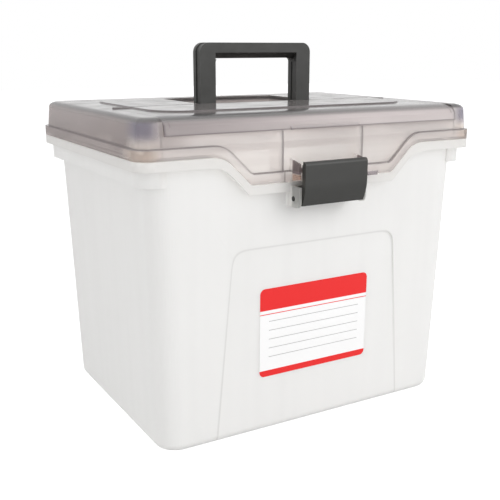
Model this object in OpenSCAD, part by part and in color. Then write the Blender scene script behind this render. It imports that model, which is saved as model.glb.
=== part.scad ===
// Portable file box: a milky bin with hanging-file rails, a smoke lid that holds an
// organiser under a front door, a folding carrying handle and a snap latch.
// Origin: middle of the bin's underside. X runs along the width, -Y is the front, Z is up.

/* [Outline] */
// Width across the bin's rim and the lid's band
rim_w = 350.5; // [320:0.5:400]
// Depth across the bin's rim and the lid's band
rim_d = 256.5; // [235:0.5:300]
// Corner radius of the rim and the band
rim_r = 14; // [12:0.5:18]
// Height of the seam between bin and lid at the sides and the back
seam_z = 260; // [240:1:320]
// Height of the lid's raised top above the seam
lid_h = 34.6; // [34:0.1:42]
// Wall thickness of the mouldings
wall = 2; // [1.6:0.1:2.4]
// Gap between the closed lid and the rim that it rests on
seam_gap = 0.3; // [0.2:0.05:0.5]

/* [Front dip] */
// How far the seam drops in the middle of the front
dip_drop = 25.5; // [18:0.5:30]
// Half the width of the dip, measured halfway down its slope
dip_half = 87.2; // [80:0.1:100]
// How far back the dip reaches from the front of the band
dip_depth = 24; // [20:0.5:40]
// How far the dip widens for each millimetre down
dip_lean = 0.15; // [0:0.01:0.3]
// Radius where the slope leaves the high seam
dip_r_high = 26; // [12:1:32]
// Radius where the slope meets the low seam
dip_r_low = 5; // [3:0.5:10]

/* [Bin] */
// How far the side walls stand in from the rim at the seam
side_inset = 12.4; // [11:0.1:16]
// How far the front and back walls stand in from the rim at the seam
front_inset = 7.3; // [7:0.1:10]
// How much further in each side wall stands at the base
side_draft = 7.9; // [4:0.1:12]
// How much further in the front and back walls stand at the base
front_draft = 5.7; // [3:0.1:8]
// Corner radius of the bin's walls
bin_r = 20; // [16:0.5:26]
// Radius of the edge round the underside
foot_r = 8; // [5:0.5:10]
// Height of the rim's skirt below the seam
rim_h = 8.3; // [7:0.1:10]

/* [File rails] */
// Depth of the side steps below the seam
step_drop = 22; // [20:0.5:28]
// How far the steps stand in from the rim at the sides
step_side_inset = 4.2; // [3.8:0.1:6]
// How far the steps stand in from the rim at the front and back
step_front_inset = 5.7; // [4.5:0.1:6.5]
// How far the steps reach round the bin's corners
step_wrap = 22; // [21:0.5:30]
// Height of the file rails above the floor of their channel
rail_h = 6; // [4:0.5:9]
// How far the ends of the rails stay from the front and back walls
rail_end = 16; // [10:1:30]

/* [Label panel] */
// Height of the panel's top edge
panel_top = 177; // [160:1:190]
// Half the width of the panel at its top edge
panel_half_top = 87; // [75:1:100]
// Half the width of the panel at the base
panel_half_base = 103; // [90:1:115]
// Radius of the panel's upper corners
panel_r = 12; // [8:0.5:16]
// How deep the panel is set in at its top edge
panel_sink = 1.5; // [0.8:0.1:1.8]
// Width of the label
label_w = 118.5; // [90:0.5:130]
// Height of the label
label_h = 84; // [60:0.5:90]
// Height of the label's lower edge above the base
label_z = 54.5; // [40:0.5:60]
// Corner radius of the label
label_r = 5; // [3:0.5:8]
// Thickness of the label
label_t = 0.25; // [0.2:0.05:0.4]

/* [Lid] */
// Height of the band's upper edge above the seam
band_h = 9.3; // [8:0.1:11]
// How far the lid's wall stands in from the band
lid_inset = 3; // [2.4:0.1:4]
// How much further in the wall stands where the top edge starts to round
lid_lean = 1.5; // [0.8:0.1:2.5]
// Width of the rounded top edge
edge_w = 8.8; // [6:0.1:10]
// Height of the rounded top edge
edge_h = 5.4; // [4:0.1:7]
// How far the lid's locating lip reaches below the seam
lip_h = 4; // [2:0.5:6]
// Gap between the locating lip and the bin's walls
lip_gap = 1; // [0.9:0.1:1.5]
// Corner radius of the locating lip
lip_r = 30; // [28:1:36]
// Height of the raised field on top
field_h = 1.2; // [0.8:0.1:1.6]
// Width of the raised field
field_w = 268; // [240:1:290]
// Distance from the middle to the raised field's front edge
field_front = 82; // [70:1:90]
// Distance from the middle to the raised field's rear edge
field_rear = 92; // [85:1:98]
// Corner radius of the raised field
field_r = 32; // [20:1:40]

/* [Organiser and its door] */
// Width of the door
door_w = 303; // [280:0.5:310]
// Gap round the door
door_gap = 0.3; // [0.3:0.05:0.6]
// Distance from the middle to the front of the door's curve
door_reach = 126.2; // [125.6:0.1:127]
// Width of the curve at the door's front
door_curve_w = 21; // [14:0.5:26]
// Height of the curve at the door's front
door_curve_h = 8.4; // [7:0.1:10]
// Height of the door's front lip below the curve
door_lip = 6; // [4:0.5:8]
// How far the lip flares out at its lower edge
lip_flare = 1.3; // [0.5:0.1:1.8]
// Width of the thumb ledge on the lip
thumb_w = 72; // [50:1:90]
// Radius of the round bead along the door's hinge edge
bead_r = 2.6; // [2.4:0.1:3]
// Distance of the door's hinge axis in front of the middle
door_hinge = 16.8; // [16.6:0.1:19]
// Radius of the stub pins at the ends of the bead
stub_r = 1.3; // [1.1:0.1:1.5]
// Length of the stub pins
stub_l = 3.6; // [3:0.1:5]
// Distance of the organiser's dividers from the middle
divider_x = 42; // [30:1:60]
// Thickness of the dividers
divider_t = 1.6; // [1.2:0.1:2.2]

/* [Handle] */
// Outer width of the handle
handle_w = 123; // [110:0.5:135]
// Width of one leg and of the grip, seen from the front
leg_w = 16; // [13:0.5:18]
// Height of the grip, seen from the front
grip_h = 14.5; // [12:0.5:18]
// Thickness of the handle from front to back
handle_t = 15.4; // [13:0.1:16]
// Height of the handle's top above the lid
handle_rise = 55.9; // [45:0.1:60]
// Distance of the handle's axis in front of the middle
handle_axis = 3; // [2:0.1:4]
// Outer corner radius of the handle
handle_r = 9; // [6:0.5:12]
// Corner radius inside the grip
window_r = 3.5; // [3:0.5:6]
// Height of the bevel under the grip's front
bevel_h = 5.2; // [3:0.1:7]
// Depth of that bevel
bevel_d = 7; // [4:0.5:8]
// Depth of the groove round the handle's inner and outer sides
groove_d = 0.8; // [0.4:0.1:1.2]
// Width of the plate in front of the groove
groove_front = 1.4; // [1:0.1:2]
// Width of the groove
groove_w = 8.6; // [5:0.1:9]
// Radius of the handle's trunnions
trunnion_r = 3.5; // [3:0.1:4]
// Length of each trunnion
trunnion_l = 5; // [4:0.5:6]
// Gap between the handle and the sides of its recess
recess_gap = 2.5; // [1.5:0.1:4]
// Distance from the middle to the recess's straight rear edge
recess_rear = 72; // [70:1:78]
// How far the curved rear edge bulges behind that
recess_bulge = 9; // [5:0.5:12]

/* [Latch] */
// Width of the latch
latch_w = 65; // [50:0.5:80]
// Height of the latch's lower edge below the low seam
latch_below = 19.5; // [18:0.1:22]
// Height of the latch's upper edge above the low seam
latch_above = 18.5; // [17:0.1:22]
// How far the latch's face stands out from the band
latch_out = 17.8; // [17:0.1:19]
// How far the face curves back at its lower edge
latch_curve = 5; // [3:0.1:6]
// Thickness of the latch's face
latch_t = 2.6; // [2:0.1:3]
// Height of the latch's axis below the low seam
pin_below = 14; // [13.5:0.1:15]
// Distance of the latch's axis out from the band
pin_out = 3.8; // [3.6:0.1:4.2]
// Radius of the latch pin
pin_r = 2.2; // [1.8:0.1:2.4]
// Thickness of the lugs that carry the pin
lug_t = 2.5; // [2:0.1:3]
// Gap between latch and lugs
lug_gap = 0.4; // [0.3:0.05:0.6]
// Height of the catch's top above the low seam
catch_above = 12; // [11.5:0.1:12.3]
// Gap between the catch and the latch's hook
hook_gap = 1; // [0.9:0.1:1.2]

/* [Lid hinge] */
// Distance of the two hinges from the middle
hinge_x = 95; // [70:1:120]
// Radius of the hinge knuckles
knuckle_r = 4; // [3.5:0.1:5]
// Radius of the hinge pins
hinge_pin_r = 1.8; // [1.5:0.1:2]
// Length of each of the bin's knuckles
bin_knuckle = 9; // [7:0.5:12]
// Length of the lid's knuckle between them
lid_knuckle = 18; // [14:0.5:26]

/* [Hidden] */

fit = 0.05;                            // radial clearance of a pin in its bore
far = 500;                             // beyond every surface, for cutters
arc_steps = 12;                        // straight pieces in a rounded profile
turn = 90 / arc_steps;                 // angle of one of those pieces

// the printed outline
half_w = rim_w / 2;
half_d = rim_d / 2;
lid_top = seam_z + lid_h;              // top of the raised field
deck_z = lid_top - field_h;            // top of the lid beside the raised field
low_z = seam_z - dip_drop;             // the seam in the middle of the front
dip_back = half_d - dip_depth;         // rear end of the dip, in front of the middle

// bin walls: half sizes as a function of height
function bin_x(z) = half_w - side_inset - side_draft * (1 - z / seam_z);
function bin_y(z) = half_d - front_inset - front_draft * (1 - z / seam_z);
step_z = seam_z - step_drop;           // underside of the side steps
step_x = half_w - step_side_inset;
step_y = half_d - step_front_inset;
step_r = rim_r + 4;
rail_x = bin_x(step_z) - wall;         // inner face of the file rails

// label panel: a plane that leans less than the wall
panel_y0 = bin_y(foot_r);
panel_lean = atan((bin_y(panel_top) - panel_sink - panel_y0) / (panel_top - foot_r));

// lid
band_z = seam_z + band_h;
edge_z = deck_z - edge_h;              // where the lid's wall starts to round over
lip_x = step_x - wall - lip_gap;
lip_y = bin_y(low_z - lip_h) - wall - lip_gap;
well_x = door_w / 2 + door_gap;        // inner half width of the organiser
well_rear = door_hinge + bead_r + 3;   // rear face of the organiser, in front of the middle
curve_z = deck_z - door_curve_h;       // height at which the door's curve ends
bead_z = lid_top - bead_r;             // height of the door's hinge axis
door_bottom = curve_z - door_lip;

// handle
pivot_z = lid_top - handle_t / 2;      // the folded handle lies flush with the raised field
handle_top = lid_top + handle_rise;
window_x = handle_w / 2 - leg_w;
recess_x = handle_w / 2 + recess_gap;
recess_z = pivot_z - handle_t / 2 - 0.8;         // floor of the recess, just below the hubs
recess_front = handle_axis + handle_t / 2 + 1.2; // front wall of the recess, clear of the hubs
bracket = [4, 14, 14];                 // block beside the recess that a trunnion turns in

// latch
latch_y = half_d + latch_out;
latch_low = low_z - latch_below;
latch_high = low_z + latch_above;
pin_y = half_d + pin_out;
pin_z = low_z - pin_below;
lug_x = latch_w / 2 + lug_gap;         // inner face of the lugs and of the lid's gussets
lug_front = pin_y + 9;                 // front edge of the lugs
lug_low = pin_z - 7.5;                 // lower edge of the lugs
lug_top = low_z - 3.5;                 // upper edge of the lugs
lug_r = 5;                             // radius of the lugs' lower corner
barrel_r = pin_r + 2.4;                // barrel of the latch round its pin
latch_r = 3.2;                         // radius of the face's rounded top edge
latch_lip = 1.2;                       // flat part of that edge, behind its curve
flange_t = 2;                          // thickness of the latch's side flanges
hook_h = 3;                            // height of the latch's hook
hook_z = low_z + catch_above + 0.9;    // underside of the hook, above the catch
catch_y = latch_y - latch_t - 3.4;     // front face of the lid's catch and gussets
catch_x = latch_w / 2 - flange_t - 1;  // half the width of the catch
catch_h = 5.5;                         // height of the catch at the lid's wall
gusset_x = lug_x + 0.4;                // inner face of the lid's gussets
flange_y = catch_y + 0.6;              // rear edge of the flanges, in front of the catch
tab = [12, 10, 3];                     // thumb tab: length of its middle, width, thickness
tab_x = lug_x + lug_t + 4;             // near end of the thumb tab

// lid hinge
hinge_y = half_d + knuckle_r + 0.35;   // axis of the hinges, clear of the rim
hinge_gap = 0.4;                       // between neighbouring knuckles
arm_y = hinge_y + 0.8 * knuckle_r;     // outer corner of the arms that carry the knuckles
arm_z = 0.6 * knuckle_r;               // height of that corner from the axis

// organiser
ledge_w = 4;                           // ledges that the door's ends rest above
stub_block = [stub_l + 2, 8, 7];       // block that a stub pin turns in
ledge_proud = 1.4;                     // how far the thumb ledge stands out from the lip

clear_plastic = [0.93, 0.93, 0.92, 0.8];
smoke_plastic = [0.56, 0.52, 0.52, 0.8];
black_plastic = [0.28, 0.28, 0.27];
pin_colour = [0.12, 0.12, 0.12];
label_colour = [0.96, 0.96, 0.96];

// ---- shared shapes ----

// rectangle with true round corners
module round_rect(w, d, r) {
    square([w, d - 2 * r], center = true);
    square([w - 2 * r, d], center = true);
    for (sx = [-1, 1], sy = [-1, 1])
        translate([sx * (w / 2 - r), sy * (d / 2 - r)]) circle(r, $fn = 32);
}

module round_block(half_x, half_y, r, z0, z1) {
    translate([0, 0, z0]) linear_extrude(z1 - z0) round_rect(2 * half_x, 2 * half_y, r);
}

// points of an arc about a centre
function arc_points(cx, cz, r, from, to) =
    [for (i = [0 : arc_steps]) let (a = from + (to - from) * i / arc_steps)
        [cx + r * cos(a), cz + r * sin(a)]];

// right half of the front seam, moved up by dz: flat, slope at 45 degrees, flat
function dip_side(dz) =
    let (high = seam_z + dz,
         low = high - dip_drop,
         mid = dip_half - dip_lean * dz,
         x_high = mid + dip_drop / 2 + dip_r_high * tan(22.5),
         x_low = mid - dip_drop / 2 - dip_r_low * tan(22.5))
    concat(arc_points(x_low, low + dip_r_low, dip_r_low, -90, -45),
           arc_points(x_high, high - dip_r_high, dip_r_high, 135, 90));

// one level of a lofted body: a rectangle with round corners at height z
function level(half_x, half_y, r, z) =
    [for (q = [0 : 3], i = [0 : arc_steps])
        let (a = 90 * q + 90 * i / arc_steps,
             sx = (q == 0 || q == 3) ? 1 : -1,
             sy = (q < 2) ? 1 : -1)
        [sx * (half_x - r) + r * cos(a), sy * (half_y - r) + r * sin(a), z]];

// closed body through a list of levels, from the lowest to the highest
module loft(levels) {
    n = len(levels[0]);
    top = len(levels) - 1;
    sides = [for (k = [0 : top - 1], i = [0 : n - 1])
        [k * n + i, (k + 1) * n + i, (k + 1) * n + (i + 1) % n, k * n + (i + 1) % n]];
    polyhedron(points = [for (l = levels, p = l) p],
               faces = concat([[for (i = [0 : n - 1]) i]], sides,
                              [[for (i = [n - 1 : -1 : 0]) top * n + i]]));
}

function mirrored(points) = [for (i = [len(points) - 1 : -1 : 0]) [-points[i][0], points[i][1]]];

// everything in front of back_y, filled up to the front seam moved up by dz
module dip_fill(dz, back_y) {
    side = dip_side(dz);
    translate([0, -back_y, 0]) rotate([90, 0, 0]) linear_extrude(far)
        polygon(concat([[-far, -far], [-far, seam_z + dz]], mirrored(side), side,
                       [[far, seam_z + dz], [far, -far]]));
}

// everything below the seam moved up by dz, with the dip at the front only
module below_seam(dz) {
    dip_fill(dz, dip_back);
    translate([-far, -dip_back, -far]) cube([2 * far, far + dip_back, far + seam_z + dz]);
}

// the layer between two heights above the seam
module seam_layer(dz0, dz1) {
    difference() {
        below_seam(dz1);
        below_seam(dz0);
    }
}

// a bar along X: a round rod or bore at a given height and depth
module rod_x(x0, x1, y, z, r) {
    translate([x0, y, z]) rotate([0, 90, 0]) cylinder(h = x1 - x0, r = r, $fn = 48);
}

// a plate of YZ outline between two X values
module side_plate(x0, x1, points) {
    translate([x0, 0, 0]) rotate([90, 0, 90]) linear_extrude(x1 - x0) polygon(points);
}

// the same shape on the left and on the right
module both_sides() {
    children();
    mirror([1, 0, 0]) children();
}

// ---- bin ----

// the leaning body of the bin, or the space inside it when inset by the wall
module bin_body(inset, z0, z1, foot) {
    r = bin_r - inset;
    loft(concat(
        [for (a = [0 : 2 * turn : 90]) let (in = inset + foot * (1 - sin(a)))
            level(bin_x(z0) - in, bin_y(z0) - in, r - foot * (1 - sin(a)) / 2, z0 + foot * (1 - cos(a)))],
        [level(bin_x(z1) - inset, bin_y(z1) - inset, r, z1)]));
}

// the four corner steps and the side steps, inset by the wall for their channels
module bin_step(inset, z0, z1) {
    intersection() {
        round_block(step_x - inset, step_y - inset, step_r - inset, z0, z1);
        both_sides()
            translate([step_x - step_wrap + inset, -far, 0]) cube([far, 2 * far, far]);
    }
}

module rails() {
    both_sides()
        translate([rail_x, -bin_y(step_z) + rail_end, step_z])
            cube([wall, 2 * (bin_y(step_z) - rail_end), wall + rail_h]);
}

// outline of the label panel, grown by a margin
module panel_outline(grow) {
    slope = (panel_half_base - panel_half_top) / panel_top;
    x = panel_half_top + grow - panel_r * (1 - slope);
    z = panel_top + grow - panel_r;
    corner = arc_points(x, z, panel_r, 0, 90);
    base = [panel_half_top + grow + slope * (panel_top + far), -far];
    polygon(concat([base], corner, mirrored(corner), [[-base[0], base[1]]]));
}

// places a flat outline on the panel's plane, from depth d0 to d1 in front of it
module on_panel(d0, d1) {
    translate([0, -panel_y0, foot_r]) rotate([90 + panel_lean, 0, 0])
        translate([0, -foot_r, d0]) linear_extrude(d1 - d0) children();
}

// side view of the lugs that carry the latch pin
module latch_lugs() {
    outline = concat([[-bin_y(lug_low) + wall / 2, lug_low]],
                     arc_points(-lug_front + lug_r, lug_low + lug_r, lug_r, 270, 180),
                     [[-lug_front, lug_top], [-bin_y(low_z) + wall / 2, lug_top]]);
    both_sides()
        side_plate(lug_x, lug_x + lug_t, outline);
}

module hinge_blocks() {
    for (s = [-1, 1], t = [-1, 1]) {
        inner = lid_knuckle / 2 + hinge_gap;
        x = s * hinge_x + t * (inner + bin_knuckle / 2) - bin_knuckle / 2;
        rod_x(x, x + bin_knuckle, hinge_y, seam_z, knuckle_r);
        side_plate(x, x + bin_knuckle,
                   [[half_d - wall / 2, seam_z - rim_h], [half_d - wall / 2, seam_z - 0.1],
                    [hinge_y, seam_z - 0.1], [arm_y, seam_z - arm_z], [half_d + 1, seam_z - rim_h]]);
    }
}

module bin() {
    color(clear_plastic)
    difference() {
        union() {
            intersection() {
                union() {
                    bin_body(0, 0, seam_z, foot_r);
                    bin_step(0, step_z, seam_z);
                    // rim: a shelf round the mouth and a skirt hanging from its edge
                    intersection() {
                        seam_layer(-rim_h, 0);
                        difference() {
                            round_block(half_w, half_d, rim_r, 0, far);
                            round_block(half_w - wall, half_d - wall, rim_r - wall, 0, far);
                        }
                    }
                    intersection() {
                        seam_layer(-wall, 0);
                        round_block(half_w, half_d, rim_r, 0, far);
                    }
                }
                below_seam(0);
            }
            latch_lugs();
            hinge_blocks();
        }
        // the space for files, less the backing of the sunk label panel
        difference() {
            bin_body(wall, wall, seam_z + 1, foot_r - wall);
            on_panel(-wall, far) panel_outline(wall);
        }
        difference() {
            bin_step(wall, step_z + wall, seam_z + 1);
            rails();
        }
        on_panel(0, far) panel_outline(0);
        rod_x(-far, far, -pin_y, pin_z, pin_r + fit);
        rod_x(-far, far, hinge_y, seam_z, hinge_pin_r + fit);
    }
}

module label() {
    color(label_colour)
    on_panel(0, label_t)
        translate([0, label_z + label_h / 2]) round_rect(label_w, label_h, label_r);
}

// ---- lid ----

// the lid's outside above the seam, or its inside when inset by the wall
module lid_body(inset) {
    x = half_w - lid_inset - inset;
    y = half_d - lid_inset - inset;
    r = rim_r - lid_inset - inset;
    loft(concat(
        [level(x, y, r, low_z - lip_h), level(x, y, r, band_z)],
        [for (a = [0 : turn : 90]) let (in = lid_lean + edge_w * (1 - cos(a)))
            level(x - in, y - in, r - in * 0.3, edge_z - inset + edge_h * sin(a))]));
}

// the band that stands proud round the lid's foot
module lid_band() {
    intersection() {
        round_block(half_w, half_d, rim_r, 0, far);
        seam_layer(seam_gap, band_h);
    }
}

// the raised field on top, with a sloping edge
module raised_field() {
    middle = (field_rear - field_front) / 2;
    d = field_rear + field_front;
    translate([0, middle, 0]) loft([
        level(field_w / 2 + 2 * field_h, d / 2 + 2 * field_h, field_r + 2 * field_h, deck_z - field_h),
        level(field_w / 2, d / 2, field_r, lid_top)]);
}

// side view of the door's outer face, moved inwards by inset, from the hinge to the lip
function door_face(inset) =
    concat([[-door_hinge, deck_z - inset]],
           [for (i = [0 : arc_steps]) let (a = 90 * i / arc_steps)
               [-door_reach + door_curve_w - (door_curve_w - inset) * sin(a),
                curve_z + (door_curve_h - inset) * cos(a)]],
           [[-door_reach - lip_flare + inset, door_bottom]]);

// the space that the door needs: everything outside its inner face
module door_space() {
    face = door_face(wall + door_gap);
    side_plate(-well_x, well_x,
               concat(face, [[-door_reach - lip_flare + wall + door_gap, door_bottom - door_gap],
                             [-far, door_bottom - door_gap], [-far, far], [-door_hinge, far]]));
    rod_x(-well_x, well_x, -door_hinge, bead_z, bead_r + door_gap);
    translate([-well_x, -door_hinge - 1, bead_z]) cube([2 * well_x, bead_r + door_gap + 1, far]);
}

// outline of the handle's recess, seen from above
module recess_outline(inset) {
    x = recess_x - inset;
    bulge = recess_bulge;
    r = (x * x + bulge * bulge) / (2 * bulge);
    a = asin(x / r);
    arc = [for (i = [-arc_steps : arc_steps]) let (t = -a * i / arc_steps)
        [r * sin(t), recess_rear - inset + bulge + r * (cos(t) - 1)]];
    polygon(concat([[-x, -recess_front + inset], [x, -recess_front + inset]], arc));
}

// walls, floor and dividers of the organiser, and the basin for the handle
module lid_inside() {
    // organiser: side walls, rear wall, door ledge, dividers
    both_sides() {
        translate([well_x, -half_d, low_z]) cube([wall, half_d - well_rear + wall, far]);
        translate([well_x - ledge_w, -half_d, deck_z - 2 * wall - door_gap])
            cube([ledge_w + wall, half_d - well_rear, wall]);
        translate([divider_x - divider_t / 2, -half_d, low_z])
            cube([divider_t, half_d - well_rear, far]);
        translate([well_x, -door_hinge - stub_block[1] / 2, deck_z - stub_block[2]])
            cube([stub_block[0], stub_block[1], far]);
    }
    translate([-well_x - wall, -well_rear, low_z]) cube([2 * (well_x + wall), wall, far]);
    // beam under the door's bead
    translate([-well_x - wall, -well_rear, bead_z - bead_r - door_gap - wall])
        cube([2 * (well_x + wall), well_rear - recess_front + wall, wall + bead_r]);
    // riser behind the front dip
    difference() {
        translate([-half_w, -dip_back, low_z]) cube([rim_w, wall, dip_drop + seam_gap + wall]);
        dip_fill(seam_gap, dip_back - 2 * wall);
    }
    // basin under the deck for the folded handle
    translate([0, 0, recess_z - wall]) linear_extrude(far) recess_outline(-wall);
    both_sides()
        translate([recess_x, -handle_axis - bracket[1] / 2, pivot_z - bracket[2] / 2]) cube(bracket);
}

// the lid's front: gussets beside the latch, the catch between them, a thumb tab
module lid_catch() {
    wall_y = -half_d + lid_inset + wall / 2;
    catch_z = low_z + catch_above;
    both_sides()
        side_plate(gusset_x, gusset_x + wall,
                   [[wall_y, low_z + seam_gap], [-catch_y, low_z + seam_gap + 3],
                    [-catch_y, latch_high - 2], [wall_y, latch_high + 1.5]]);
    side_plate(-catch_x, catch_x,
               [[wall_y, catch_z - catch_h], [-catch_y, catch_z - catch_h / 2],
                [-catch_y, catch_z], [wall_y, catch_z]]);
    hull() {
        for (x = [tab_x, tab_x + tab[0]])
            translate([x, -half_d - 1, low_z + seam_gap])
                cylinder(h = tab[2], r = tab[1] / 2, $fn = 32);
    }
}

// arms from the band to the lid's hinge knuckles
module lid_knuckles() {
    for (s = [-1, 1]) {
        x = s * hinge_x - lid_knuckle / 2;
        rod_x(x, x + lid_knuckle, hinge_y, seam_z, knuckle_r);
        side_plate(x, x + lid_knuckle,
                   [[half_d - wall / 2, seam_z + seam_gap], [hinge_y, seam_z + seam_gap],
                    [arm_y, seam_z + arm_z], [half_d, seam_z + band_h]]);
    }
}

module lid() {
    color(smoke_plastic)
    difference() {
        union() {
            difference() {
                union() {
                    lid_band();
                    difference() {
                        lid_body(0);
                        below_seam(seam_gap);
                    }
                }
                // the organiser and the hollow under the rear deck, above the base plate
                difference() {
                    lid_body(wall);
                    below_seam(seam_gap + wall);
                }
                // the base plate is open behind and beside the organiser
                difference() {
                    round_block(lip_x - wall, lip_y - wall, lip_r - wall, low_z, seam_z + 2 * wall);
                    translate([-well_x - wall, -far, 0])
                        cube([2 * (well_x + wall), far - well_rear + wall, far]);
                }
            }
            intersection() {
                lid_body(wall / 2);
                difference() {
                    lid_inside();
                    below_seam(seam_gap);
                }
            }
            // raised field on the fixed part of the top
            intersection() {
                raised_field();
                translate([-far, -door_hinge, 0]) cube([2 * far, far, far]);
            }
            // locating lip
            intersection() {
                seam_layer(-lip_h, seam_gap + wall);
                difference() {
                    round_block(lip_x, lip_y, lip_r, 0, far);
                    round_block(lip_x - wall, lip_y - wall, lip_r - wall, 0, far);
                }
            }
            lid_catch();
            lid_knuckles();
        }
        door_space();
        // the handle's recess and its bores
        translate([0, 0, recess_z]) linear_extrude(far) recess_outline(0);
        both_sides()
            rod_x(recess_x - 1, recess_x + trunnion_l, -handle_axis, pivot_z, trunnion_r + fit);
        rod_x(-well_x - stub_l - 0.5, well_x + stub_l + 0.5, -door_hinge, bead_z, stub_r + fit);
        rod_x(-far, far, hinge_y, seam_z, hinge_pin_r + fit);
    }
}

// ---- door ----

module organiser_door() {
    outer = door_face(0);
    inner = door_face(wall);
    ledge_y = -door_reach - lip_flare - ledge_proud;
    color(smoke_plastic) {
        side_plate(-door_w / 2, door_w / 2,
                   concat(outer, [for (i = [len(inner) - 1 : -1 : 0]) inner[i]]));
        intersection() {
            raised_field();
            translate([-far, -far, 0]) cube([2 * far, far - door_hinge, far]);
        }
        rod_x(-door_w / 2, door_w / 2, -door_hinge, bead_z, bead_r);
        both_sides()
            rod_x(door_w / 2 - 1, door_w / 2 + door_gap + stub_l, -door_hinge, bead_z, stub_r);
        // thumb ledge on the lip
        side_plate(-thumb_w / 2, thumb_w / 2,
                   [[-door_reach - lip_flare + wall / 2, door_bottom], [ledge_y, door_bottom],
                    [ledge_y, door_bottom + 1.6], [-door_reach - 0.4, door_bottom + 3.4]]);
    }
}

// ---- handle ----

// front view of the handle's outside, moved inwards by inset
module handle_outline(inset) {
    x = handle_w / 2 - inset;
    top = handle_top - inset;
    r = handle_r - inset;
    translate([-x, pivot_z]) square([2 * x, top - r - pivot_z]);
    translate([-x + r, top - 2 * r]) square([2 * (x - r), 2 * r]);
    for (s = [-1, 1])
        translate([s * (x - r), top - r]) circle(r, $fn = 48);
}

// front view of the space inside the handle, grown by a margin
module handle_window(grow) {
    x = window_x + grow;
    top = handle_top - grip_h + grow;
    r = window_r + grow;
    translate([-x, 0]) square([2 * x, top - r]);
    translate([-x + r, 0]) square([2 * (x - r), top]);
    for (s = [-1, 1])
        translate([s * (x - r), top - r]) circle(r, $fn = 32);
}

// stands a front view upright, from depth y0 back to y1
module upright(y0, y1) {
    translate([0, y1, 0]) rotate([90, 0, 0]) linear_extrude(y1 - y0) children();
}

module handle() {
    front = -handle_axis - handle_t / 2;
    grip_z = handle_top - grip_h;
    color(black_plastic) {
        difference() {
            union() {
                upright(front, front + handle_t) handle_outline(0);
                both_sides()
                    rod_x(window_x, handle_w / 2, -handle_axis, pivot_z, handle_t / 2);
            }
            upright(-far, far) handle_window(0);
            // bevel under the grip
            side_plate(-window_x, window_x,
                       [[front - 1, grip_z - 1], [front - 1, grip_z + bevel_h],
                        [front, grip_z + bevel_h], [front + bevel_d, grip_z], [front + bevel_d, grip_z - 1]]);
            // groove round the outer and inner sides
            upright(front + groove_front, front + groove_front + groove_w) {
                difference() {
                    handle_outline(-1);
                    handle_outline(groove_d);
                    translate([-far, 0]) square([2 * far, lid_top]);
                }
                difference() {
                    handle_window(groove_d);
                    translate([-far, 0]) square([2 * far, lid_top]);
                    translate([-far, grip_z - window_r]) square([2 * far, far]);
                }
            }
        }
        both_sides()
            rod_x(handle_w / 2 - 1, recess_x + trunnion_l - 0.5, -handle_axis, pivot_z, trunnion_r);
    }
}

// ---- latch ----

// side view of the latch's outer face, moved inwards by inset: curved below, round at the top
function latch_face(inset) =
    concat([for (i = [0 : arc_steps])
               let (t = 1 - i / arc_steps)
               [-latch_y + inset + latch_curve * t * t, low_z - latch_below * t]],
           arc_points(-latch_y + latch_r, latch_high - latch_r, latch_r - inset, 180, 90),
           [[-latch_y + latch_r + latch_lip, latch_high - inset]]);

module latch() {
    outer = latch_face(0);
    inner = latch_face(latch_t);
    back = -latch_y + latch_t;
    foot = [back + latch_curve - 1, latch_low + 1];
    color(black_plastic)
    difference() {
        union() {
            side_plate(-latch_w / 2, latch_w / 2,
                       concat(outer, [for (i = [len(inner) - 1 : -1 : 0]) inner[i]]));
            rod_x(-latch_w / 2, latch_w / 2, -pin_y, pin_z, barrel_r);
            // web between the barrel and the face
            side_plate(-latch_w / 2, latch_w / 2,
                       [foot, [-pin_y, pin_z - barrel_r], [-pin_y, pin_z + 1], [back, pin_z + 3]]);
            // side flanges, slim beside the lid's catch
            both_sides()
                side_plate(latch_w / 2 - flange_t, latch_w / 2,
                           [foot, [-pin_y, pin_z - barrel_r], [-pin_y + 3, pin_z + 2],
                            [-pin_y + 1, low_z - 4], [-flange_y, low_z - 1],
                            [-flange_y, latch_high - latch_t], [back - 1, latch_high - latch_t],
                            [back - 1, low_z]]);
            // hook above the lid's catch
            side_plate(-catch_x, catch_x,
                       [[back - 0.5, hook_z], [-catch_y - hook_gap, hook_z],
                        [-catch_y - hook_gap, hook_z + 1.2], [back - 0.5, hook_z + hook_h]]);
        }
        rod_x(-far, far, -pin_y, pin_z, pin_r + fit);
    }
}

module latch_pin() {
    color(pin_colour)
    rod_x(-lug_x - lug_t - 0.4, lug_x + lug_t + 0.4, -pin_y, pin_z, pin_r);
}

module lid_hinge_pins() {
    half = lid_knuckle / 2 + hinge_gap + bin_knuckle;
    color(pin_colour)
    for (s = [-1, 1])
        rod_x(s * hinge_x - half, s * hinge_x + half, hinge_y, seam_z, hinge_pin_r);
}

bin();
lid();
organiser_door();
handle();
latch();
latch_pin();
lid_hinge_pins();
label();
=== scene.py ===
import math

import bpy
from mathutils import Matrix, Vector

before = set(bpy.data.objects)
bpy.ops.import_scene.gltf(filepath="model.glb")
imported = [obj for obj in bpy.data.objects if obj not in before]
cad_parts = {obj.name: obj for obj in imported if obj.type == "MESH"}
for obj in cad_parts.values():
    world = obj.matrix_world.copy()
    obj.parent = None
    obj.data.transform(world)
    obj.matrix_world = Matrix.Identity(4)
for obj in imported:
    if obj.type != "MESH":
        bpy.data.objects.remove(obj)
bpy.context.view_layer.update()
print("frame loaded")

# the camera stands at the front left, a little above the lid
cameraValues = {
    "azimuth": -30.09,          # degrees about Z, 0 looks along +Y
    "elevation": 14.32,         # degrees above the floor
    "distance": 0.8262,         # metres from the target
    "target": (-0.0019, 0.0, 0.1418),
    "lens": 57.19,              # millimetres, for the sensor's width
    "sensor": 36.0,
    "nearest": 0.01,            # metres, what lies nearer or farther isn't seen
    "farthest": 50.0,
}


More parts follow.
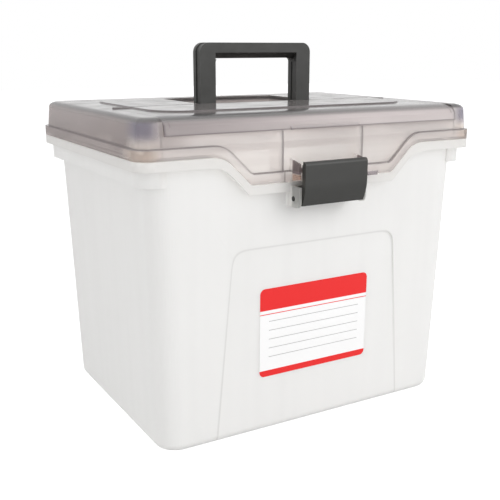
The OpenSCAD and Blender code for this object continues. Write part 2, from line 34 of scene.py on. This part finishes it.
def addCamera(values):
    # place = target + distance * (sin a cos e, -cos a cos e, sin e)
    azimuth = math.radians(values["azimuth"])
    elevation = math.radians(values["elevation"])
    level = math.cos(elevation)
    back = Vector((math.sin(azimuth) * level, -math.cos(azimuth) * level, math.sin(elevation)))
    data = bpy.data.cameras.new("camera")
    data.sensor_width = values["sensor"]
    data.lens = values["lens"]
    data.clip_start = values["nearest"]
    data.clip_end = values["farthest"]
    camera = bpy.data.objects.new("camera", data)
    bpy.context.collection.objects.link(camera)
    camera.location = Vector(values["target"]) + back * values["distance"]
    camera.rotation_euler = (-back).to_track_quat("-Z", "Y").to_euler()
    bpy.context.scene.camera = camera


addCamera(cameraValues)
print("camera placed")


# helpers for shader nodes
def feed(tree, value, socket):
    # a node or one of its outputs is linked to the socket, a number or a colour is set on it;
    # a Mix node gives its colour, any other node its first output
    if isinstance(value, bpy.types.Node):
        value = value.outputs[2 if value.bl_idname == "ShaderNodeMix" else 0]
    if isinstance(value, bpy.types.NodeSocket):
        tree.links.new(value, socket)
    elif socket.type == "RGBA":
        socket.default_value = (*value, 1)
    else:
        socket.default_value = value


def newNode(tree, kind, inputs=None, **settings):
    # a shader node with its settings, its inputs named or counted and fed as above
    node = tree.nodes.new("ShaderNode" + kind)
    for name, value in settings.items():
        setattr(node, name, value)
    for name, value in (inputs or {}).items():
        feed(tree, value, node.inputs[name])
    return node


def newMaterial(name):
    # an empty material, its tree and its output
    material = bpy.data.materials.new(name)
    material.use_nodes = True
    tree = material.node_tree
    tree.nodes.clear()
    return material, tree, newNode(tree, "OutputMaterial")


# grey light from all round, three soft lamps and a pale floor that is seen as white
studioValues = {
    "worldLight": 0.70,         # strength of the sky that lights the box
    "worldSeen": 1.0,           # white that the camera sees behind it
    "floorSize": 12.0,
    "floorDrop": 0.0004,        # metres from the box down to the floor
    "floorColour": (0.6, 0.6, 0.6),
    "floorGlow": 0.80,          # added where the camera sees the floor, so that it is white
    "floorMirrored": 0.25,      # added where the floor is seen in or through the plastic
    "aim": (0.0, 0.0, 0.15),    # the lamps point here
    "lamps": {"key": {"power": 25.0, "place": (1.0, -1.9, 1.2), "size": 2.0},
              "fill": {"power": 10.0, "place": (-2.0, -0.6, 0.9), "size": 1.5},
              "top": {"power": 6.0, "place": (0.2, 0.6, 1.9), "size": 1.6}},
}


def seenRays(tree, camera=1.0, mirrored=1.0):
    # camera for rays from the camera, mirrored for reflected rays and rays through clear plastic, else 0
    path = newNode(tree, "LightPath").outputs
    direct = newNode(tree, "Math", {0: path["Is Camera Ray"], 1: camera}, operation="MULTIPLY")
    through = newNode(tree, "Math", {0: path["Is Glossy Ray"], 1: path["Is Transmission Ray"]},
                      operation="MAXIMUM")
    return newNode(tree, "Math", {0: through, 1: mirrored, 2: direct}, operation="MULTIPLY_ADD")


def addWorld(values):
    # grey where it lights the box, white where it is seen
    world = bpy.data.worlds.new("studio")
    bpy.context.scene.world = world
    world.use_nodes = True
    tree = world.node_tree
    tree.nodes.clear()
    light = newNode(tree, "Background", {"Color": (1, 1, 1), "Strength": values["worldLight"]})
    seen = newNode(tree, "Background", {"Color": (1, 1, 1), "Strength": values["worldSeen"]})
    mix = newNode(tree, "MixShader", {0: seenRays(tree), 1: light, 2: seen})
    newNode(tree, "OutputWorld", {"Surface": mix})


def addFloor(values):
    # a flat square just under the box
    half = values["floorSize"] / 2
    mesh = bpy.data.meshes.new("floor")
    corners = [(-half, -half, 0), (half, -half, 0), (half, half, 0), (-half, half, 0)]
    mesh.from_pydata(corners, [], [(0, 1, 2, 3)])
    floor = bpy.data.objects.new("floor", mesh)
    bpy.context.collection.objects.link(floor)
    floor.location.z = -values["floorDrop"]
    material, tree, out = newMaterial("paleFloor")
    glowing = seenRays(tree, values["floorGlow"], values["floorMirrored"])
    glow = newNode(tree, "Emission", {"Strength": glowing})
    diffuse = newNode(tree, "BsdfDiffuse", {"Color": values["floorColour"]})
    feed(tree, newNode(tree, "AddShader", {0: diffuse, 1: glow}), out.inputs["Surface"])
    mesh.materials.append(material)


def addLamp(name, values, aim):
    # a round soft lamp that points at the aim
    data = bpy.data.lights.new(name, "AREA")
    data.shape = "DISK"
    data.size = values["size"]
    data.energy = values["power"]
    lamp = bpy.data.objects.new(name, data)
    bpy.context.collection.objects.link(lamp)
    lamp.location = values["place"]
    lamp.rotation_euler = (Vector(aim) - lamp.location).to_track_quat("-Z", "Y").to_euler()


addWorld(studioValues)
addFloor(studioValues)
for lampName, lampValues in studioValues["lamps"].items():
    addLamp(lampName, lampValues, studioValues["aim"])
bpy.context.scene.view_settings.view_transform = "Standard"
print("studio ready")


# masks and tints; every mask is a number from 0 to 1 over the piece's own coordinates, in metres
def combined(tree, operation, *parts):
    # one number out of up to three, each a node or a plain number
    return newNode(tree, "Math", dict(enumerate(parts)), operation=operation)


def chained(tree, operation, *parts):
    # the operation on the first two parts, then on what it gives and the next part, and so on
    result = parts[0]
    for part in parts[1:]:
        result = combined(tree, operation, result, part)
    return result


def axisValue(tree, axis):
    # place along one of the piece's own axes; "aX" and "aY" are the distances from the middle
    place = newNode(tree, "TexCoord").outputs["Object"]
    value = newNode(tree, "SeparateXYZ", {"Vector": place}).outputs[axis[-1]]
    return combined(tree, "ABSOLUTE", value) if axis[0] == "a" else value


def edgeShare(tree, axis, zero, one):
    # 0 at the first place along an axis and 1 at the second, smooth between and level beyond them
    return newNode(tree, "MapRange", {"Value": axisValue(tree, axis), "From Min": zero, "From Max": one},
                   interpolation_type="SMOOTHSTEP")


def region(tree, edges):
    # the product of its edges; each edge is an axis, the place where it is 0 and the place where it is 1
    return chained(tree, "MULTIPLY", *[edgeShare(tree, *edge) for edge in edges])


def ranged(tree, value, low, high, fromLow=0.0, fromHigh=1.0):
    # low + (high - low) * (value - fromLow) / (fromHigh - fromLow), clamped
    return newNode(tree, "MapRange", {"Value": value, "From Min": fromLow, "From Max": fromHigh,
                                      "To Min": low, "To Max": high})


def lineShare(tree, away, full, gone):
    # 1 up to the distance full from the middle of a line, 0 from the distance gone
    return ranged(tree, combined(tree, "ABSOLUTE", away), 1.0, 0.0, full, gone)


def blended(tree, share, first, second):
    # the first colour where the share is 0, the second where it is 1
    return newNode(tree, "Mix", {0: share, 6: first, 7: second}, data_type="RGBA")


noiseValues = {
    "darkest": 0.3, "brightest": 0.7,           # the noise hardly leaves this range
    "tintDetail": 3.0, "streakDetail": 1.0, "fineDetail": 2.0,
    "bumpStrength": 0.5,
}


def softNoise(tree, waves, detail, low, high, stretch=None):
    # smooth noise from low to high, in waves per metre, drawn out along an axis where the stretch is small
    place = newNode(tree, "TexCoord").outputs["Object"]
    if stretch:
        place = newNode(tree, "Mapping", {"Vector": place, "Scale": stretch})
    noise = newNode(tree, "TexNoise", {"Vector": place, "Scale": waves, "Detail": detail})
    return ranged(tree, noise, low, high, noiseValues["darkest"], noiseValues["brightest"])


def scaled(tree, colour, factor):
    # colour * factor
    return newNode(tree, "VectorMath", {0: colour, "Scale": factor}, operation="SCALE")


def mottled(tree, colour, shade, waves):
    # colour * (1 - shade to 1 + shade) in soft clouds
    return scaled(tree, colour, softNoise(tree, waves, noiseValues["tintDetail"], 1 - shade, 1 + shade))


def streaked(tree, colour, values):
    # colour * (1 - shade to 1 + shade) in the long flow marks of a moulding
    shade = values["streakShade"]
    marks = softNoise(tree, values["streakWaves"], noiseValues["streakDetail"], 1 - shade, 1 + shade,
                      values["streakStretch"])
    return scaled(tree, colour, marks)


def addSkin(tree, plastic, values):
    # slightly uneven gloss, and fine moulded grain of the given depth
    gloss = softNoise(tree, values["glossWaves"], noiseValues["fineDetail"], *values["gloss"])
    feed(tree, gloss, plastic.inputs["Roughness"])
    place = newNode(tree, "TexCoord").outputs["Object"]
    grain = newNode(tree, "TexNoise", {"Vector": place, "Scale": values["grainWaves"],
                                       "Detail": noiseValues["fineDetail"]})
    bump = newNode(tree, "Bump", {"Strength": noiseValues["bumpStrength"],
                                  "Distance": values["grainDepth"], "Height": grain})
    feed(tree, bump, plastic.inputs["Normal"])


def letLampsThrough(tree, plastic, tint, out):
    # rays to the lamps meet a clear tint, all other rays the plastic itself
    path = newNode(tree, "LightPath").outputs
    clear = newNode(tree, "BsdfTransparent", {"Color": tint})
    mix = newNode(tree, "MixShader", {0: path["Is Shadow Ray"], 1: plastic, 2: clear})
    feed(tree, mix, out.inputs["Surface"])


# smoke plastic, what the lid and the door share; "waves" are waves of noise per metre
smokeValues = {
    "ior": 1.28,
    "shade": 0.05, "waves": 9.0,
    "glossWaves": 40.0, "grainWaves": 900.0, "grainDepth": 0.00002,
    "top": (("Z", 0.2885, 0.2915),),                                  # where the walls turn into the top
    "streakShade": 0.025, "streakWaves": 150.0, "streakStretch": (0.05, 1.0, 1.0),
    "streakField": (("aX", 0.170, 0.160),),
    "roundShadeTone": (0.13, 0.13, 0.135), "roundShadeShare": 0.75,             # painted shade along the rounded top edge
    # painted shade lines: their tone, their strength and how much clearness they take
    "shadeLineTone": (0.17, 0.145, 0.15), "lineStrength": 0.75, "lineDims": 0.4,
    "fieldEdge": (("Z", 0.2936, 0.2937), ("Z", 0.2944, 0.2943)),      # sloping edge of the raised field
    "basin": (("aX", 0.0680, 0.0670), ("Y", -0.0135, -0.0125), ("Y", 0.0860, 0.0850)),
}


def fieldShadeLine(tree):
    # painted shade line along the sloping edge of the raised field, but not round the basin that is sunk
    # into it
    outside = combined(tree, "SUBTRACT", 1.0, region(tree, smokeValues["basin"]))
    return combined(tree, "MULTIPLY", region(tree, smokeValues["fieldEdge"]), outside)


def smokePlastic(name, values, ownTones):
    # clear smoke plastic: tinted by the length of plastic that light passes, with a little haze at its
    # surface, more haze on top, and painted shade lines where an edge is seen along its length
    material, tree, out = newMaterial(name)
    haze = mottled(tree, values["haze"], smokeValues["shade"], smokeValues["waves"])
    colour, lines, roundEdge, dimmed = ownTones(tree, values, haze)
    onTop = region(tree, smokeValues["top"])
    colour = blended(tree, onTop, colour, values["deck"])
    marked = streaked(tree, colour, smokeValues)
    colour = blended(tree, region(tree, smokeValues["streakField"]), colour, marked)
    # painted shade along the rounded top edge
    roundEdge = combined(tree, "MULTIPLY", roundEdge, smokeValues["roundShadeShare"])
    colour = blended(tree, roundEdge, colour, smokeValues["roundShadeTone"])
    # painted shade lines darken the colour
    lines = combined(tree, "MULTIPLY", lines, smokeValues["lineStrength"])
    colour = blended(tree, lines, colour, smokeValues["shadeLineTone"])
    # clearness = 1 - haze, less what the piece's own tones and the lines take away
    clearness = ranged(tree, onTop, 1 - values["hazeShare"], 1 - values["deckShare"])
    lineDim = combined(tree, "MULTIPLY", lines, smokeValues["lineDims"])
    clearness = chained(tree, "SUBTRACT", clearness, dimmed, lineDim)
    plastic = newNode(tree, "BsdfPrincipled", {"Base Color": colour, "Transmission Weight": clearness,
                                               "IOR": smokeValues["ior"]})
    addSkin(tree, plastic, {**smokeValues, "gloss": values["gloss"]})
    letLampsThrough(tree, plastic, values["lampTint"], out)
    absorb = newNode(tree, "VolumeAbsorption", {"Color": values["absorb"], "Density": values["density"]})
    feed(tree, absorb, out.inputs["Volume"])
    return material


lidValues = {
    "haze": (0.53, 0.475, 0.465), "hazeShare": 0.30,
    "deck": (0.35, 0.33, 0.325), "deckShare": 0.38,
    "gloss": (0.11, 0.21), "lampTint": (0.96, 0.95, 0.94),
    "absorb": (0.45, 0.33, 0.29), "density": 9.0,                     # tint by length of plastic
    # painted light: pale regions where light seen through the lid is painted in; elsewhere the darker haze
    # stays as painted shade
    "pale": (0.98, 0.945, 0.925),
    "tray": (("aX", 0.1520, 0.1510), ("Y", -0.0190, -0.0220), ("Z", 0.2862, 0.2857)), "trayPale": 0.6,
    "middle": (("aX", 0.0680, 0.0670), ("Y", 0.0860, 0.0850), ("Z", 0.2925, 0.2915)), "middlePale": 0.50,
    "front": (("Y", -0.1000, -0.1180), ("aX", 0.170, 0.150)),
    "frontBand": (("Y", -0.085, -0.1180), ("Z", 0.2703, 0.2693)),     # the band goes on round the corners
    "shadeFromLeft": (("X", -0.152, -0.115),), "leftPale": 0.50,           # painted shade: the front is less pale at its left, away from the key lamp
    "band": (("Z", 0.2703, 0.2693),),                                 # but the band isn't
    # painted light and reflection at the two front corners, above the band and on it
    "corner": (("aX", 0.150, 0.166), ("Y", -0.090, -0.112)),
    "aboveBand": (("Z", 0.2693, 0.2703),), "cornerHeight": (("Z", 0.2715, 0.2830),),
    "cream": (0.98, 0.93, 0.88), "creamShare": 0.85, "blue": (0.34, 0.34, 0.46), "blueShare": 0.60,
    "onBand": (("Z", 0.2693, 0.2683),), "bandTan": (0.66, 0.54, 0.45), "bandTanShare": 0.60,
    # tones of the basin's floor, of the gussets and the catch, below them and of the thumb tab
    "basinFloor": (("Z", 0.2730, 0.2740), ("Z", 0.2805, 0.2795)), "floorTone": (0.36, 0.335, 0.33),
    "gussets": (("Y", -0.1292, -0.1298), ("aX", 0.0385, 0.0375), ("Z", 0.2410, 0.2430)),
    "gussetTone": (0.22, 0.18, 0.18), "gussetDims": 0.3,
    "underGussets": (("Y", -0.1292, -0.1298), ("Z", 0.2430, 0.2410), ("aX", 0.0385, 0.0375)),
    "underTone": (0.68, 0.52, 0.44),
    "tab": (("Y", -0.1292, -0.1298), ("aX", 0.0385, 0.0395)), "tabTone": (0.50, 0.47, 0.51),
    # painted shade lines where the dividers meet the front, and along the band
    "dividers": (("aX", 0.0411, 0.0413), ("aX", 0.0429, 0.0427), ("Y", -0.1180, -0.1190),
                 ("Z", 0.2790, 0.2780)),
    "ledgeHigh": 0.2693, "ledgeLow": 0.2438, "ledgeMiddle": 0.0858,   # top edge of the band and its dip
    "turnHigh": 0.014, "turnLow": 0.0026,                             # how soft its two turns are
    "behindDip": (("Y", -0.1040, -0.1030),), "ledgeShadeLine": (0.0004, 0.0010),
    "roundEdge": (("Z", 0.2897, 0.2920), ("Z", 0.2933, 0.2926)),
}


def litPaleShare(tree, values):
    # painted light: where the lid is painted pale as if lit through: in the organiser tray, on the front
    # and the band, and partly below the top in its middle, round the basin; the sides keep the darker haze
    tray = combined(tree, "MULTIPLY", region(tree, values["tray"]), values["trayPale"])
    front = chained(tree, "MAXIMUM", region(tree, values["front"]), region(tree, values["frontBand"]))
    # painted shade: the tray and the front are painted less pale towards the left, the band isn't
    shadeFromLeft = chained(tree, "MAXIMUM", region(tree, values["shadeFromLeft"]), region(tree, values["band"]))
    leftShaded = ranged(tree, shadeFromLeft, values["leftPale"], 1.0)
    face = combined(tree, "MULTIPLY", combined(tree, "MAXIMUM", tray, front), leftShaded)
    middle = combined(tree, "MULTIPLY", region(tree, values["middle"]), values["middlePale"])
    return combined(tree, "MAXIMUM", face, middle)


def cornerLightTones(tree, values, colour):
    # painted light and reflection at the front corners: a bluish reflected tone above that turns to lit
    # cream near the band, and lit tan on the band itself
    corner = region(tree, values["corner"])
    above = combined(tree, "MULTIPLY", corner, region(tree, values["aboveBand"]))
    height = region(tree, values["cornerHeight"])
    tone = blended(tree, height, values["cream"], values["blue"])
    weight = ranged(tree, height, values["creamShare"], values["blueShare"])
    share = combined(tree, "MULTIPLY", above, weight)
    onBand = combined(tree, "MULTIPLY", corner, region(tree, values["onBand"]))
    tan = combined(tree, "MULTIPLY", onBand, values["bandTanShare"])
    return blended(tree, tan, blended(tree, share, colour, tone), values["bandTan"])


def ledgeShadeLine(tree, values):
    # painted shade line along the top edge of the band: its height is flat, at 45 degrees and flat again,
    # with soft turns; behind the front the slope is lifted out of reach, so that it stays at the upper
    # height
    middle = (values["ledgeHigh"] + values["ledgeLow"]) / 2
    slope = combined(tree, "ADD", axisValue(tree, "aX"), middle - values["ledgeMiddle"])
    lifted = combined(tree, "ADD", slope, region(tree, values["behindDip"]))
    low = combined(tree, "SMOOTH_MAX", lifted, values["ledgeLow"], values["turnLow"])
    height = combined(tree, "SMOOTH_MIN", low, values["ledgeHigh"], values["turnHigh"])
    away = combined(tree, "SUBTRACT", axisValue(tree, "Z"), height)
    return lineShare(tree, away, *values["ledgeShadeLine"])


def lidTones(tree, values, haze):
    # the lid's colour with its painted light and shade, its painted shade lines, its rounded top edge and
    # how much less clear the gussets are
    pale = mottled(tree, values["pale"], smokeValues["shade"] / 2, smokeValues["waves"])
    # painted light: the pale tone where the lid is seen as lit through
    colour = blended(tree, litPaleShare(tree, values), haze, pale)
    colour = cornerLightTones(tree, values, colour)
    colour = blended(tree, region(tree, values["underGussets"]), colour, values["underTone"])
    colour = blended(tree, region(tree, values["tab"]), colour, values["tabTone"])
    basinFloor = region(tree, smokeValues["basin"] + values["basinFloor"])
    colour = blended(tree, basinFloor, colour, values["floorTone"])
    # the gussets and the catch show their whole depth of plastic
    gussets = region(tree, values["gussets"])
    colour = blended(tree, gussets, colour, values["gussetTone"])
    dividers = region(tree, values["dividers"])
    lines = chained(tree, "MAXIMUM", fieldShadeLine(tree), ledgeShadeLine(tree, values), dividers)
    dimmed = combined(tree, "MULTIPLY", gussets, values["gussetDims"])
    return colour, lines, region(tree, values["roundEdge"]), dimmed


doorValues = {
    "haze": (0.54, 0.50, 0.50), "hazeShare": 0.38,
    "deck": (0.38, 0.36, 0.355), "deckShare": 0.34,
    "gloss": (0.10, 0.20), "lampTint": (0.75, 0.72, 0.72),
    "absorb": (0.40, 0.30, 0.28), "density": 60.0,
    # painted light: the door gets paler towards the key lamp at the right
    "litHazeRight": (0.80, 0.76, 0.755), "towardsRight": (("X", -0.1503, 0.0500),),
    # painted shade lines in the gaps and beside the ends
    "lowerEdge": (("Z", 0.2801, 0.2799),), "ends": (("aX", 0.1501, 0.1503),),
    "grooves": (("aX", 0.1460, 0.1462), ("aX", 0.1472, 0.1470), ("Y", -0.1120, -0.1140),
                ("Z", 0.2840, 0.2860)),
    # painted shade along the rounded front
    "shadeStrip": (("Z", 0.2897, 0.2920), ("Z", 0.2938, 0.2936), ("Y", -0.090, -0.112)),
    "leftToRight": (("X", -0.1503, 0.1503),), "stripRight": 0.15,     # the strip's share at its right end
}


def doorTones(tree, values, haze):
    # the door's colour with painted light that grows towards the right, the painted shade lines along its
    # lower edge, its ends and a short groove beside each end, and the strip of painted shade along its
    # rounded front, which gets weaker to the right
    colour = blended(tree, region(tree, values["towardsRight"]), haze, values["litHazeRight"])
    lines = [fieldShadeLine(tree)] + [region(tree, values[line]) for line in ("lowerEdge", "ends", "grooves")]
    weaker = ranged(tree, region(tree, values["leftToRight"]), 1.0, values["stripRight"])
    shadeStrip = combined(tree, "MULTIPLY", region(tree, values["shadeStrip"]), weaker)
    return colour, chained(tree, "MAXIMUM", *lines), shadeStrip, 0.0


smokeLid = smokePlastic("smokePlastic", lidValues, lidTones)
smokeDoor = smokePlastic("smokeDoor", doorValues, doorTones)
print("smoke plastic ready")

milkyValues = {
    "colour": (0.94, 0.937, 0.925), "shade": 0.012, "waves": 7.0,
    "gloss": (0.29, 0.41), "glossWaves": 60.0, "grainWaves": 1500.0, "grainDepth": 0.00004,
    "clearness": 0.16,                          # share of light that passes straight through
    "spread": 0.4, "spreadDepth": 0.008,        # share of light that spreads inside the wall, and how far
    "lampTint": (0.85, 0.85, 0.84),
    "streakShade": 0.012, "streakWaves": 70.0, "streakStretch": (1.0, 1.0, 0.05),
    # painted shade: the outer rim is painted darker
    "rimFront": (("aY", 0.1222, 0.1228),), "rimSide": (("aX", 0.1716, 0.1722),),
    "rimShadeTone": (0.80, 0.785, 0.765),
    "lugs": (("Y", -0.1292, -0.1298),), "lugTone": (0.66, 0.66, 0.64), "lugClearness": 0.72,
    "panelTop": 0.177, "panelHalfTop": 0.087, "panelHalfBase": 0.103, "panelTurn": 0.021,
    "panelFront": (("Y", -0.090, -0.091),), "panelShadeLine": (0.0004, 0.0014),
    "panelShadeTone": (0.80, 0.797, 0.785),
}


def panelShadeLine(tree, values):
    # painted shade along the step round the sunk panel in front: the distance from its slanting sides and
    # from its top, the lesser of the two with a soft turn at the corner
    slant = (values["panelHalfBase"] - values["panelHalfTop"]) / values["panelTop"]
    halfWidth = combined(tree, "SUBTRACT", values["panelHalfBase"],
                         combined(tree, "MULTIPLY", axisValue(tree, "Z"), slant))
    fromSide = combined(tree, "SUBTRACT", halfWidth, axisValue(tree, "aX"))
    fromTop = combined(tree, "SUBTRACT", values["panelTop"], axisValue(tree, "Z"))
    nearer = combined(tree, "SMOOTH_MIN", fromSide, fromTop, values["panelTurn"])
    line = lineShare(tree, nearer, *values["panelShadeLine"])
    return combined(tree, "MULTIPLY", line, region(tree, values["panelFront"]))


def milkyPlastic(name, values):
    # milky plastic: white with light spread inside its wall, and a share that passes straight through; the
    # thin lugs in front are clearer than the walls; painted shade on the outer rim and along the panel's
    # step
    material, tree, out = newMaterial(name)
    colour = streaked(tree, mottled(tree, values["colour"], values["shade"], values["waves"]), values)
    # painted shade on the outer rim
    rim = chained(tree, "MAXIMUM", region(tree, values["rimFront"]), region(tree, values["rimSide"]))
    colour = blended(tree, rim, colour, values["rimShadeTone"])
    colour = blended(tree, panelShadeLine(tree, values), colour, values["panelShadeTone"])
    lugs = region(tree, values["lugs"])
    colour = blended(tree, lugs, colour, values["lugTone"])
    plastic = newNode(tree, "BsdfPrincipled", {
        "Base Color": colour,
        "Transmission Weight": ranged(tree, lugs, values["clearness"], values["lugClearness"]),
        "Subsurface Weight": ranged(tree, lugs, values["spread"], 0.0),
        "Subsurface Radius": (1, 1, 1),
        "Subsurface Scale": values["spreadDepth"]})
    addSkin(tree, plastic, values)
    letLampsThrough(tree, plastic, values["lampTint"], out)
    return material


milky = milkyPlastic("clearPlastic", milkyValues)
print("milky plastic ready")

# dark moulded plastic: what its pieces share, then each piece's own values
darkShared = {"shade": 0.1, "waves": 25.0, "glossWaves": 90.0, "grainWaves": 2400.0}
handleValues = {
    **darkShared,
    "colour": (0.026, 0.026, 0.0235), "gloss": (0.41, 0.52), "grainDepth": 0.00008,
}
latchValues = {
    **darkShared,
    "colour": (0.026, 0.026, 0.0235), "gloss": (0.39, 0.50), "grainDepth": 0.00008,
    "shadedLowerPart": (("Z", 0.2260, 0.2020),), "lowerShade": 0.45,      # painted shade: it gets darker downwards
}
pinValues = {
    **darkShared,
    "colour": (0.012, 0.012, 0.012), "gloss": (0.30, 0.41), "grainDepth": 0.00003,
}


def darkPlastic(name, values):
    # fine grain and slightly uneven gloss, with painted shade in the lower part if the piece names one
    material, tree, out = newMaterial(name)
    colour = mottled(tree, values["colour"], values["shade"], values["waves"])
    if "shadedLowerPart" in values:
        # painted shade: the lower part darkens to the given share of the colour
        dark = tuple(channel * values["lowerShade"] for channel in values["colour"])
        colour = blended(tree, region(tree, values["shadedLowerPart"]), colour, dark)
    plastic = newNode(tree, "BsdfPrincipled", {"Base Color": colour})
    addSkin(tree, plastic, values)
    feed(tree, plastic, out.inputs["Surface"])
    return material


darkHandle = darkPlastic("darkPlastic", handleValues)
darkLatch = darkPlastic("latchPlastic", latchValues)
blackPin = darkPlastic("pinPlastic", pinValues)
print("dark plastic ready")

labelValues = {
    "paper": (0.96, 0.96, 0.96), "red": (0.84, 0.010, 0.010), "grey": (0.45, 0.45, 0.45),
    "shade": 0.008, "waves": 30.0,
    "gloss": (0.38, 0.47), "glossWaves": 80.0, "grainWaves": 700.0, "grainDepth": 0.00002,
    "header": (0.1180, 0.1390), "rule": (0.1140, 0.1148), "footer": (0.0545, 0.0605),   # printed in red
    "lines": (0.0735, 0.1075), "lineStep": 0.0085, "lineWidth": 0.0005,                 # printed in grey
    "lineSide": 0.0500, "linesBeyond": 0.001,
    "soft": 0.00012,                            # how far a printed edge fades
}


def printedBand(tree, low, high, soft):
    # 1 between two heights, with soft edges
    return region(tree, (("Z", low - soft, low + soft), ("Z", high + soft, high - soft)))


def labelPaper(name, values):
    # smooth paper with a plain printed form: red bands, a thin red rule and grey lines to write on
    material, tree, out = newMaterial(name)
    soft = values["soft"]
    bands = [printedBand(tree, *values[band], soft) for band in ("header", "rule", "footer")]
    # a line at every step: the distance from the nearest multiple of the step, counted from the lowest line
    lowest, highest = values["lines"]
    height = combined(tree, "SUBTRACT", axisValue(tree, "Z"), lowest)
    away = combined(tree, "PINGPONG", height, values["lineStep"] / 2)
    line = lineShare(tree, away, values["lineWidth"] / 2, values["lineWidth"] / 2 + soft)
    beyond = values["linesBeyond"]
    ruled = printedBand(tree, lowest - beyond, highest + beyond, soft)
    within = edgeShare(tree, "aX", values["lineSide"], values["lineSide"] - soft)
    ground = mottled(tree, values["paper"], values["shade"], values["waves"])
    ground = blended(tree, chained(tree, "MULTIPLY", line, ruled, within), ground, values["grey"])
    printed = blended(tree, chained(tree, "MAXIMUM", *bands), ground, values["red"])
    paper = newNode(tree, "BsdfPrincipled", {"Base Color": printed})
    addSkin(tree, paper, values)
    feed(tree, paper, out.inputs["Surface"])
    return material


printedLabel = labelPaper("labelPaper", labelValues)
print("label ready")

# each piece's finish and the radius of its rounded edges; the bin's rear rim needs its own triangles, so
# its flat faces aren't joined
pieceValues = {
    "bin": {"finish": milky, "radius": 0.0006, "joined": False},
    "lid": {"finish": smokeLid, "radius": 0.0005, "joined": True},
    "organiser_door": {"finish": smokeDoor, "radius": 0.0005, "joined": True},
    "handle": {"finish": darkHandle, "radius": 0.0012, "joined": True},
    "latch": {"finish": darkLatch, "radius": 0.0007, "joined": True},
    "latch_pin": {"finish": blackPin},
    "lid_hinge_pins": {"finish": blackPin},
    "label": {"finish": printedLabel},
}
edgeValues = {
    "mergeWithin": 0.00001,     # metres between corners that are one
    "flatWithin": 0.6,          # degrees between faces that are joined
    "sharpFrom": 32.0,          # degrees between faces whose edge is rounded
    "segments": 2,
}


def roundEdges(piece, radius, joined, values):
    # corners are merged and flat faces joined, then every sharp edge becomes an arc of the radius
    weld = piece.modifiers.new("weld", "WELD")
    weld.merge_threshold = values["mergeWithin"]
    if joined:
        clean = piece.modifiers.new("clean", "DECIMATE")
        clean.decimate_type = "DISSOLVE"
        clean.angle_limit = math.radians(values["flatWithin"])
    bevel = piece.modifiers.new("bevel", "BEVEL")
    bevel.width = radius
    bevel.segments = values["segments"]
    bevel.limit_method = "ANGLE"
    bevel.angle_limit = math.radians(values["sharpFrom"])
    bevel.use_clamp_overlap = True
    bevel.harden_normals = True


for node, values in pieceValues.items():
    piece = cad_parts[node]
    for slot in piece.material_slots:
        slot.material = values["finish"]
    if "radius" in values:
        roundEdges(piece, values["radius"], values["joined"], edgeValues)
print("finishes set and edges rounded")
